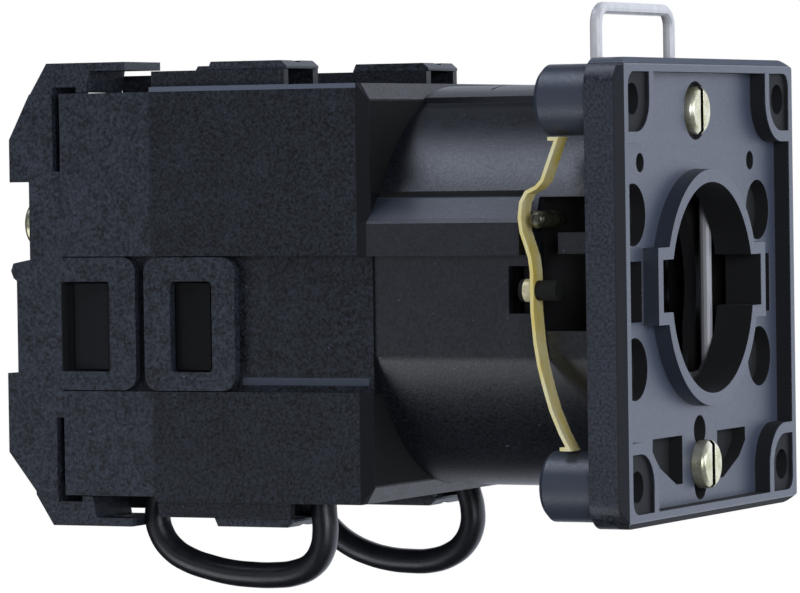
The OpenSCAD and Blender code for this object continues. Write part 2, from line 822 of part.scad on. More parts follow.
module detent_springs() {
    color("#b9bbc0") top_and_low() coil(wheel_mid, slide_z1 + seat_gap, spring_end_z, 2.1, 0.35, 4);
}

// Main block, rear deck and covers

module terminal_well(row, x1) {
    block(row - well_before - well_wall, x1, bank_y0, chamber_y + 0.2,
        well_floor - well_floor_t, chamber_z + 0.2);
}

module terminal_well_cut(row) {
    block(row - well_before, row + well_after, term_y - well_half_w, term_y + well_half_w, well_floor, far);
    block(row - strip_w / 2 - seat_gap, row + strip_w / 2 + seat_gap,
        strip_leg_y - seat_gap, chamber_y, well_floor - well_floor_t - 1, well_floor + 1);
}

// Ledge under the fixed contacts and walls beside a plunger
module row_ledges(x0, x1) {
    four_ways() {
        block(x0, x1, strip_in + 0.8, chamber_y + 0.2, strip_floor - ledge_t, strip_floor);
        block(x0, x1, stem_guide_y, stem_guide_y + guide_wall, guide_z0, guide_z1);
    }
}

// Rectangular latch loop with a window, lying in a side recess
module latch_loop(x0, x1, y0, y1, win_x0, win_x1) {
    mid = (x0 + x1) / 2;
    along_y(y0, y1) difference() {
        translate([mid, loop_mid_z]) round_rect(x1 - x0, loop_h, 1.6);
        translate([(win_x0 + win_x1) / 2, loop_mid_z - 0.3]) round_rect(win_x1 - win_x0, loop_window_h, 0.5);
    }
}

// Wedge that a latch loop snaps over
module latch_nose(x0, x1, y0, height) {
    translate([0, 0, -8.1]) linear_extrude(9.3)
        polygon([[x0, y0 - 1], [x0, y0 + 0.3], [x1 - 0.6, y0 + height], [x1, y0 + height], [x1, y0 - 1]]);
}

module side_recess_cut(x0, x1, half_w) {
    both_sides() block(x0, x1, half_w - side_recess, far, loop_low - seat_gap, rib_low + seat_gap);
}

// Body of the main block, bevelled round its front end
module block_body() {
    half_w = block_w / 2;
    half_h = block_h / 2;
    intersection() {
        along_y(-half_w, half_w) polygon([
            [block_back, -half_h], [mech_back - block_bevel, -half_h], [mech_back, -half_h + 1.7],
            [mech_back, half_h - 1.7], [mech_back - block_bevel, half_h], [block_back, half_h]]);
        translate([0, 0, -half_h]) linear_extrude(block_h) polygon([
            [block_back, -half_w], [mech_back - block_bevel, -half_w], [mech_back, -half_w + 1],
            [mech_back, half_w - 1], [mech_back - block_bevel, half_w], [block_back, half_w]]);
    }
}

module main_block() {
    wall_x = mech_back - cross_wall;
    color("#2a2d35") {
        difference() {
            union() {
                difference() {
                    union() {
                        block_body();
                        four_ways() block(block_back, row_b + roof_reach - 0.2, bank_y0, bank_y1,
                            block_h / 2 - 1, bank_top);
                        both_sides() along_x(mech_back - 2, mech_back) rib_outline();
                    }
                    block(block_back - 1, wall_x, -chamber_y, chamber_y, -chamber_z, chamber_z);
                    side_recess_cut(block_back - 1, mech_back + 1, block_w / 2);
                }
                four_ways() terminal_well(row_b, row_b + well_after + well_wall);
                row_ledges(row_b - 2.6, wall_x + 0.2);
                both_sides() latch_nose(loop_b_win0 + 0.2, loop_b_win1 - 0.2, block_w / 2 - side_recess, 1.1);
            }
            four_ways() terminal_well_cut(row_b);
            rod_x(wall_x - 1, mech_back + 1, sleeve_hole_r);
            for (s = [-1, 1]) rod_x(wall_x - 1, mech_back + 1, screw_hole_r + 0.1, s * tie_y, -s * tie_z);
        }
    }
}

// Wall between the two contact rows
module deck_divider() {
    x1 = row_b - well_before - well_wall;
    color("#33373f") difference() {
        intersection() {
            block(x1 - 1.2, x1, -chamber_y + seat_gap, chamber_y - seat_gap, -far, far);
            block(x1 - 1.2, x1, -far, far, -chamber_z + seat_gap, chamber_z - seat_gap);
        }
        rod_x(x1 - 2, x1 + 1, sleeve_hole_r);
        for (s = [-1, 1]) rod_x(x1 - 2, x1 + 1, screw_hole_r + 0.1, s * tie_y, -s * tie_z);
    }
}

module rear_deck() {
    half = deck_w / 2;
    color("#2f323a") {
        difference() {
            union() {
                difference() {
                    block(deck_back, block_back, -half, half, -deck_h / 2, deck_h / 2);
                    block(deck_back + cross_wall, block_back + 1, -chamber_y, chamber_y,
                        -chamber_z, chamber_z);
                    side_recess_cut(deck_back - 1, block_back + 1, half);
                }
                four_ways() terminal_well(row_a, block_back);
                top_and_low() block(row_a - 2.5, block_back, -bank_y0 + 0.2, bank_y0 - 0.2,
                    deck_h / 2 - 1, bank_top - 0.3);
                row_ledges(deck_back + 1, row_a + 2.6);
                both_sides() {
                    latch_nose(loop_a_win0 + 1, loop_a_win1 - 0.2, half - side_recess, 1);
                    latch_loop(loop_b_x0, loop_b_x1, loop_b_y, block_w / 2 - 0.1, loop_b_win0, loop_b_win1);
                    block(loop_b_x0, block_back, half - side_recess - 0.2, loop_b_y + 0.2, -8, 1.8);
                }
            }
            four_ways() terminal_well_cut(row_a);
            rod_x(deck_back - 1, deck_back + 2, sleeve_hole_r);
            for (s = [-1, 1]) rod_x(deck_back - 1, deck_back + 2, screw_hole_r + 0.1, s * tie_y, -s * tie_z);
        }
    }
}

// Outline of the rear cover in X and Z, with its pads, finger rib and chamfers
module cover_outline() {
    top = deck_h / 2;
    pad = cover_back;
    mid = cover_floor - 1.7;
    difference() {
        polygon([
            [deck_back, top], [cover_floor + 0.2, top], [pad + 0.6, top - 4.9], [pad + 0.6, top - 9.5],
            [cover_floor, top - 9.5], [cover_floor, 3.8], [mid - 0.4, 3.4], [mid - 0.7, 2.6],
            [mid - 0.4, 1.8], [mid, 1.5], [mid, -8.5], [pad, -8.5], [pad, 4.6 - top],
            [cover_floor + 0.6, -top], [deck_back, -top]]);
        translate([deck_back - 0.9, top - 8.4]) square([2, top]);
        translate([deck_back - 0.9, 8.4 - 2 * top]) square([2, top]);
    }
}

// Arm that reaches over the deck and roofs the rear terminals
module cover_arm() {
    top = deck_h / 2;
    roof = bank_top + 0.2;
    along_y(bank_y0, bank_y1)
        polygon([
            [cover_floor + 0.2, top - 2.5], [cover_floor + 0.2, top], [deck_back - 1.6, roof + roof_t],
            [row_a + roof_reach, roof + roof_t], [row_a + roof_reach, roof],
            [row_a - well_before + 0.8, roof], [row_a - well_before + 0.4, top + seat_gap],
            [deck_back + 2, top + seat_gap],
            [deck_back + 2, top + 0.7], [deck_back - 0.9, top + 0.7], [deck_back - 0.9, top - 2.5]]);
}

module rear_cover() {
    color("#353942") difference() {
        union() {
            along_y(-deck_w / 2, deck_w / 2) cover_outline();
            four_ways() cover_arm();
            both_sides()
                latch_loop(loop_a_x0, loop_a_x1, loop_a_y, deck_w / 2, loop_a_win0, loop_a_win1);
        }
        rod_x(deck_back + 0.2 - journal_len, deck_back + 1, journal_r + run_gap);
        for (s = [-1, 1]) {
            rod_x(cover_floor - 1, deck_back + 1, screw_hole_r + 0.1, s * tie_y, -s * tie_z);
            rod_x(cover_back - 1, cover_floor, tie_head_r + 0.4, s * tie_y, -s * tie_z);
        }
        four_ways() rod_z(deck_h / 2 + 1, far, driver_r, row_a, term_y);
    }
}

module terminal_covers() {
    z1 = bank_top + roof_t;
    color("#2f323a") four_ways() difference() {
        along_y(bank_y0 + 0.2, bank_y1 - 0.2) polygon([
            [row_b - roof_before, bank_top], [row_b - roof_before + 0.4, z1], [row_b + roof_reach - 0.7, z1],
            [row_b + roof_reach, bank_top + 0.3], [row_b + roof_reach, bank_top]]);
        rod_z(bank_top - 1, far, driver_r, row_b, term_y);
    }
}

module tie_screws() {
    length = mech_back + mech_wall + 2.6 - cover_floor;
    color("#cfc27a") for (s = [-1, 1]) mirror([1, 0, 0])
        slotted_screw(-cover_floor + tie_head_t, s * tie_y, -s * tie_z, tie_head_r, tie_head_t, length);
}

// Plungers, bridges and their springs

module plunger(row) {
    rod_x(row - stem_x, row + stem_x, follower_r - eps, 0, follower_z);
    block(row - stem_x, row + stem_x, -stem_half_w, stem_half_w, follower_z, bridge_z);
    block(row - stem_x, row + stem_x, -3.2, 3.2, bridge_z - 1, bridge_z);
    rod_z(bridge_z - eps, bridge_z + post_len, post_r, row, 0);
}

module bridge(row) {
    difference() {
        block(row - strip_w / 2, row + strip_w / 2, -bridge_len / 2, bridge_len / 2,
            bridge_z, bridge_z + bridge_t);
        rod_z(bridge_z - 1, bridge_z + 2, post_r + run_gap, row, 0);
    }
    both_sides() rod_z(bridge_z - bridge_tip_h, bridge_z + eps, tip_r, row, strip_in + 1.9);
}

module contact_spring(row, lifted) {
    coil(row, bridge_z + bridge_t + lifted + 0.05, chamber_z - 0.05, 2.1, 0.3, 4);
}

module plunger_rear_top() {
    color("#c8c2b2") plunger(row_a);
}

module plunger_rear_low() {
    color("#c8c2b2") translate([0, 0, -cam_lift]) mirror([0, 0, 1]) plunger(row_a);
}

module plunger_front_top() {
    color("#c8c2b2") translate([0, 0, cam_lift]) plunger(row_b);
}

module plunger_front_low() {
    color("#c8c2b2") mirror([0, 0, 1]) plunger(row_b);
}

module bridge_rear_top() {
    color("#c98f4a") bridge(row_a);
}

module bridge_rear_low() {
    color("#c98f4a") translate([0, 0, -cam_lift]) mirror([0, 0, 1]) bridge(row_a);
}

module bridge_front_top() {
    color("#c98f4a") translate([0, 0, cam_lift]) bridge(row_b);
}

module bridge_front_low() {
    color("#c98f4a") mirror([0, 0, 1]) bridge(row_b);
}

module spring_rear_top() {
    color("#b9bbc0") contact_spring(row_a, 0);
}

module spring_rear_low() {
    color("#b9bbc0") mirror([0, 0, 1]) contact_spring(row_a, cam_lift);
}

module spring_front_top() {
    color("#b9bbc0") contact_spring(row_b, cam_lift);
}

module spring_front_low() {
    color("#b9bbc0") mirror([0, 0, 1]) contact_spring(row_b, 0);
}

// Fixed contacts, terminals and jumper wires

module fixed_contacts(row) {
    four_ways() {
        block(row - strip_w / 2, row + strip_w / 2, strip_in, strip_leg_y + strip_t,
            strip_floor, strip_floor + strip_t);
        block(row - strip_w / 2, row + strip_w / 2, strip_leg_y, strip_leg_y + strip_t,
            strip_floor, well_floor);
        rod_z(strip_floor + strip_t - eps, strip_floor + strip_t + tip_h, tip_r, row, strip_in + 1.9);
    }
}

module fixed_contacts_rear() {
    color("#c98f4a") fixed_contacts(row_a);
}

module fixed_contacts_front() {
    color("#c98f4a") fixed_contacts(row_b);
}

module terminal_clamps() {
    color("#c9a24a") for (row = [row_a, row_b]) four_ways() difference() {
        block(row - well_before + clamp_margin, row + well_after - clamp_margin,
            term_y - well_half_w + 0.3, term_y + well_half_w - 0.3, well_floor, well_floor + clamp_h);
        rod_z(well_floor + 0.6, far, screw_hole_r, row, term_y);
        rod_z(well_floor + 0.6, far, 0.9, row + wire_dx, term_y);
    }
}

module terminal_screws() {
    z0 = well_floor + clamp_h;
    color("#cfc27a") for (row = [row_a, row_b]) four_ways() difference() {
        union() {
            rod_z(z0, z0 + 1.8, term_head_d / 2, row, term_y);
            rod_z(well_floor + 0.8, z0 + eps, screw_r, row, term_y);
        }
        block(row - 4, row + 4, term_y - 0.45, term_y + 0.45, z0 + 0.9, far);
    }
}

// Bare ends of the jumper wires, held in the lower clamps
module conductor_ends() {
    color("#c07a4a") for (row = [row_a, row_b]) both_sides() mirror([0, 0, 1])
        rod_z(well_floor + 0.8, -link_top, 0.8, row + wire_dx, term_y);
}

module wire_link(route, side) {
    points = [for (p = route) [p.x, side * term_y, p.y]];
    tube(points, [for (p = route) [0, 1, 0]], link_d / 2, link_sides);
}

module wire_link_near() {
    color("#26282e") wire_link(link_near_route, -1);
}

module wire_link_far() {
    color("#26282e") wire_link(link_far_route, 1);
}

front_plate();
plate_screws();
mechanism_housing();
bearing_plate();
leaf_spring_near();
leaf_spring_far();
leaf_pins();
leaf_rivets();
latch_bail();
shaft();
shaft_coupling();
shaft_spacers();
cam_rear();
cam_front();
detent_wheel();
detent_slides();
detent_rollers();
detent_springs();
main_block();
deck_divider();
rear_deck();
rear_cover();
terminal_covers();
tie_screws();
plunger_rear_top();
plunger_rear_low();
plunger_front_top();
plunger_front_low();
bridge_rear_top();
bridge_rear_low();
bridge_front_top();
bridge_front_low();
spring_rear_top();
spring_rear_low();
spring_front_top();
spring_front_low();
fixed_contacts_rear();
fixed_contacts_front();
terminal_clamps();
terminal_screws();
conductor_ends();
wire_link_near();
wire_link_far();
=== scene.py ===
import json
import math

import bpy
from mathutils import Matrix, Vector


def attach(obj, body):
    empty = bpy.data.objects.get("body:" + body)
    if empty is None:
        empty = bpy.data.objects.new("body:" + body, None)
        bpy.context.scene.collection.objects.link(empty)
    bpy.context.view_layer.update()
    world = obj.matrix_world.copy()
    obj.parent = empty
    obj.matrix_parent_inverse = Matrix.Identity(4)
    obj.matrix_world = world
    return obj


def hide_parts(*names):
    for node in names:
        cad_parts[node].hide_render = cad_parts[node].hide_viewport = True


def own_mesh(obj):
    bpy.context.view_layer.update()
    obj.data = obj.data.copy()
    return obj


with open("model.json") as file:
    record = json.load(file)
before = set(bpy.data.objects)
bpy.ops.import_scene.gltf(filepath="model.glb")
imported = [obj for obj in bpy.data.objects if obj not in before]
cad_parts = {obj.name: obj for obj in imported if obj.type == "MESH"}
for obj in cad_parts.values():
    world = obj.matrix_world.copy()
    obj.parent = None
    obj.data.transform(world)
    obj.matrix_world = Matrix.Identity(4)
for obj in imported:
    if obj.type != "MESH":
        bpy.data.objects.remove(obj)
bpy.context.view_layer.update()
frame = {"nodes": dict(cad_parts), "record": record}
nodes = frame["nodes"]

# Camera, solved on the corners of the front plate

cameraView = {
    "azimuth": 25.953,
    "elevation": 1.599,
    "roll": -0.868,
    "distance": 0.553967,
    "shiftRight": -0.033309,
    "shiftUp": -0.000974,
    "lens": 234.69,
    "sensor": 36,
    "nearest": 0.02,
    "farthest": 20,
}


def placeCamera(view):
    azimuth = math.radians(view["azimuth"])
    elevation = math.radians(view["elevation"])
    roll = math.radians(view["roll"])
    back = Vector((
        math.sin(azimuth) * math.cos(elevation),
        -math.cos(azimuth) * math.cos(elevation),
        math.sin(elevation),
    ))
    side = Vector((math.cos(azimuth), math.sin(azimuth), 0))
    up = back.cross(side)
    right = side * math.cos(roll) + up * math.sin(roll)
    top = up * math.cos(roll) - side * math.sin(roll)
    place = back * view["distance"] + right * view["shiftRight"] + top * view["shiftUp"]
    data = bpy.data.cameras.new("photoCamera")
    data.lens = view["lens"]
    data.sensor_width = view["sensor"]
    data.clip_start = view["nearest"]
    data.clip_end = view["farthest"]
    camera = bpy.data.objects.new("photoCamera", data)
    bpy.context.scene.collection.objects.link(camera)
    turned = Matrix((right, top, back)).transposed().to_4x4()
    camera.matrix_world = Matrix.Translation(place) @ turned
    bpy.context.scene.camera = camera


placeCamera(cameraView)
print("camera placed")

# Jumper wires, along the same routes as their CAD solids: points are X and Z in millimetres

terminalRow = 0.0175
wireDiameter = 0.0028

wireLinks = {
    "nearJumper": {
        "node": "wire_link_near",
        "side": -terminalRow,
        "length": 0.039,
        "route": [
            (-57.5, -18), (-57.5, -20), (-57.7, -22), (-58.1, -24), (-57.6, -26), (-56.2, -27.7),
            (-54.2, -28.8), (-51.8, -29.5), (-49.2, -30), (-46.6, -30.2), (-44, -30.2),
            (-41.5, -29.9), (-39.4, -29), (-38.2, -27.4), (-37.8, -25.4), (-37.9, -23.4),
            (-38, -21.6), (-38.1, -19.8), (-38.1, -18),
        ],
    },
    "farJumper": {
        "node": "wire_link_far",
        "side": terminalRow,
        "length": 0.04,
        "route": [
            (-57.5, -18), (-57.5, -20), (-57.4, -22), (-57, -24.2), (-56, -26.4), (-54.4, -28.2),
            (-52.4, -29.6), (-50, -30.6), (-47.4, -31.2), (-44.8, -31.4), (-42.2, -31.3),
            (-39.8, -30.6), (-38, -29.3), (-37, -27.4), (-36.9, -25.2), (-37.4, -23.2),
            (-37.9, -21.4), (-38.1, -19.8), (-38.1, -18),
        ],
    },
}


def makeJumper(name, values):
    points = [(x / 1000, values["side"], z / 1000) for x, z in values["route"]]
    curve = bpy.data.curves.new(name, "CURVE")
    curve.dimensions = "3D"
    curve.bevel_depth = 1  # the knots' own radius sets the thickness
    curve.bevel_resolution = 6
    curve.resolution_u = 6
    curve.use_fill_caps = True
    spline = curve.splines.new("BEZIER")
    spline.bezier_points.add(len(points) - 1)
    for knot, point in zip(spline.bezier_points, points):
        knot.co = point
        knot.handle_left_type = "AUTO"
        knot.handle_right_type = "AUTO"
        knot.radius = wireDiameter / 2
    piece = bpy.data.objects.new(name, curve)
    bpy.context.scene.collection.objects.link(piece)
    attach(piece, "switch_body")
    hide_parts(values["node"])
    return piece


jumpers = [makeJumper(name, values) for name, values in wireLinks.items()]
print("jumper wires made")

# Materials

dullRoughness = 0.9  # in hollows and inner walls
mouldedSway = 0.06  # roughness goes this far up and down with the pattern
metalSway = {"down": 0.06, "up": 0.08}
mouldedBump = 0.6  # how strongly the grain stands out
metalBump = 0.3
metalRelief = 0.00002  # height of the fine grain on metals, in metres
noiseLow, noiseHigh = 0.3, 0.7  # nearly all of a noise lies between these
# pale specks, painted in as glints of light on the grain
speckSize = 0.0005  # in metres
speckFrom = 0.78  # noise over this is a pale speck
frontSlope = 0.6  # a face counts as front where its normal's X is over this
sideSlope = 0.5  # and its Y is under this
mixSocket = {"factor": 0, "first": 6, "second": 7, "result": 2}  # of a Mix node set to colours


# A hex colour in sRGB as linear RGBA
def linear(hexColour):
    parts = [int(hexColour[start:start + 2], 16) / 255 for start in (1, 3, 5)]
    return tuple(
        part / 12.92 if part <= 0.04045 else ((part + 0.055) / 1.055) ** 2.4 for part in parts
    ) + (1,)


# An input is a value, a socket, or a node, which stands for its first output
def addNode(tree, kind, inputs=None, **settings):
    made = tree.nodes.new(kind)
    for key, value in settings.items():
        setattr(made, key, value)
    for key, value in (inputs or {}).items():
        if isinstance(value, bpy.types.Node):
            value = value.outputs[0]
        if isinstance(value, bpy.types.NodeSocket):
            tree.links.new(value, made.inputs[key])
        else:
            made.inputs[key].default_value = value
    return made


# 1 where a measure lies between two limits
def between(tree, measure, limits):
    over = addNode(tree, "ShaderNodeMath", {0: measure, 1: limits[0]}, operation="GREATER_THAN")
    under = addNode(tree, "ShaderNodeMath", {0: measure, 1: limits[1]}, operation="LESS_THAN")
    return addNode(tree, "ShaderNodeMath", {0: over, 1: under}, operation="MULTIPLY")


# 1 inside a zone of Object coordinates: along is X, wide and high count both ways from the middle
# planes, height is signed, around counts from the shaft's axis
def inside(tree, where, zone):
    axes = addNode(tree, "ShaderNodeSeparateXYZ", {"Vector": where}).outputs
    squares = [addNode(tree, "ShaderNodeMath", {0: axes[axis], 1: 2}, operation="POWER") for axis in "YZ"]
    summed = addNode(tree, "ShaderNodeMath", {0: squares[0], 1: squares[1]}, operation="ADD")
    measures = {
        "along": axes["X"],
        "wide": addNode(tree, "ShaderNodeMath", {0: axes["Y"]}, operation="ABSOLUTE"),
        "high": addNode(tree, "ShaderNodeMath", {0: axes["Z"]}, operation="ABSOLUTE"),
        "height": axes["Z"],
        "around": addNode(tree, "ShaderNodeMath", {0: summed}, operation="SQRT"),
    }
    within = 1
    for key, measure in measures.items():
        if key in zone:
            part = between(tree, measure, zone[key])
            within = addNode(tree, "ShaderNodeMath", {0: within, 1: part}, operation="MULTIPLY")
    return within


# 1 on faces that look along the shaft, 0 on the sides: where a finish paints its front lighter or darker as
# lit or shaded
def facingFront(tree):
    normal = addNode(tree, "ShaderNodeTexCoord").outputs["Normal"]
    axes = addNode(tree, "ShaderNodeSeparateXYZ", {"Vector": normal}).outputs
    turned = addNode(tree, "ShaderNodeMath", {0: axes["Y"]}, operation="ABSOLUTE")
    straight = addNode(tree, "ShaderNodeMath", {0: turned, 1: sideSlope}, operation="LESS_THAN")
    front = addNode(tree, "ShaderNodeMath", {0: axes["X"], 1: frontSlope}, operation="GREATER_THAN")
    return addNode(tree, "ShaderNodeMath", {0: front, 1: straight}, operation="MULTIPLY")


def newMaterial(name):
    material = bpy.data.materials.new(name)
    material.use_nodes = True
    tree = material.node_tree
    tree.nodes.clear()
    where = addNode(tree, "ShaderNodeTexCoord").outputs["Object"]
    return material, tree, where


# Each layer is a mask and the shade that covers the ones below where the mask is 1. The zones of a
# finish, patches of painted light and shade, come last, and are dull unless they keep its gloss.
def finishSurface(tree, where, values, layers, rough, bump):
    for zone in values.get("zones", {}).values():
        within = inside(tree, where, zone)
        layers.append((within, zone["shade"]))
        if not zone.get("keepsGloss"):
            dull = addNode(tree, "ShaderNodeMath", {0: within, 1: dullRoughness}, operation="MULTIPLY")
            rough = addNode(tree, "ShaderNodeMath", {0: rough, 1: dull}, operation="MAXIMUM")
    tint = linear(values["dark"])
    for mask, shade in layers:
        mix = addNode(tree, "ShaderNodeMix", {
            mixSocket["factor"]: mask, mixSocket["first"]: tint, mixSocket["second"]: linear(shade),
        }, data_type="RGBA")
        tint = mix.outputs[mixSocket["result"]]
    shader = addNode(tree, "ShaderNodeBsdfPrincipled", {
        "Base Color": tint, "Roughness": rough, "Normal": bump,
        "Metallic": values.get("metal", 0), "Specular IOR Level": values.get("gloss", 0.5),
    })
    addNode(tree, "ShaderNodeOutputMaterial", {"Surface": shader})


def mouldedPlastic(name, values):
    material, tree, where = newMaterial(name)
    cloud = addNode(tree, "ShaderNodeTexNoise", {
        "Vector": where, "Scale": 1 / values["cloud"], "Detail": 3, "Roughness": 0.6,
    })
    grain = addNode(tree, "ShaderNodeTexNoise", {
        "Vector": where, "Scale": 1 / values["grain"], "Detail": 2, "Roughness": 0.6,
    })
    clouded = addNode(tree, "ShaderNodeMath", {0: cloud, 1: values["mottle"]}, operation="MULTIPLY")
    pattern = addNode(tree, "ShaderNodeMath", {
        0: grain, 1: 1 - values["mottle"], 2: clouded,
    }, operation="MULTIPLY_ADD")
    pale = addNode(tree, "ShaderNodeMapRange", {
        "Value": pattern, "From Min": 0.5 - values["reach"], "From Max": 0.5 + values["reach"],
        "To Min": 0, "To Max": 1,
    })
    layers = [(pale, values["light"])]
    # pale specks painted in as glints of light on the grain
    if "speck" in values:
        glintNoise = addNode(tree, "ShaderNodeTexNoise", {
            "Vector": where, "Scale": 1 / speckSize, "Detail": 1, "Roughness": 0.5,
        })
        speck = addNode(tree, "ShaderNodeMath", {0: glintNoise, 1: speckFrom}, operation="GREATER_THAN")
        layers.append((speck, values["speck"]))
    # the front faces painted in one tone: lighter as lit on the plate, dark as shade on the block
    if "front" in values:
        layers.append((facingFront(tree), values["front"]))
    rough = addNode(tree, "ShaderNodeMapRange", {
        "Value": pattern, "From Min": noiseLow, "From Max": noiseHigh,
        "To Min": values["rough"] - mouldedSway, "To Max": values["rough"] + mouldedSway,
    })
    bump = addNode(tree, "ShaderNodeBump", {
        "Height": grain, "Strength": mouldedBump, "Distance": values["grainDepth"],
    })
    finishSurface(tree, where, values, layers, rough, bump)
    return material


def streakedMetal(name, values):
    material, tree, where = newMaterial(name)
    along = addNode(tree, "ShaderNodeMapping", {"Vector": where, "Scale": values["streak"]})
    cloud = addNode(tree, "ShaderNodeTexNoise", {
        "Vector": along, "Scale": 1 / values["cloud"], "Detail": 4, "Roughness": 0.65,
    })
    grain = addNode(tree, "ShaderNodeTexNoise", {
        "Vector": along, "Scale": 1 / values["grain"], "Detail": 2, "Roughness": 0.6,
    })
    pale = addNode(tree, "ShaderNodeMapRange", {
        "Value": cloud, "From Min": noiseLow, "From Max": noiseHigh, "To Min": 0, "To Max": 1,
    })
    rough = addNode(tree, "ShaderNodeMapRange", {
        "Value": cloud, "From Min": noiseLow, "From Max": noiseHigh,
        "To Min": values["rough"] - metalSway["down"], "To Max": values["rough"] + metalSway["up"],
    })
    bump = addNode(tree, "ShaderNodeBump", {
        "Height": grain, "Strength": metalBump, "Distance": metalRelief,
    })
    finishSurface(tree, where, values, [(pale, values["light"])], rough, bump)
    return material


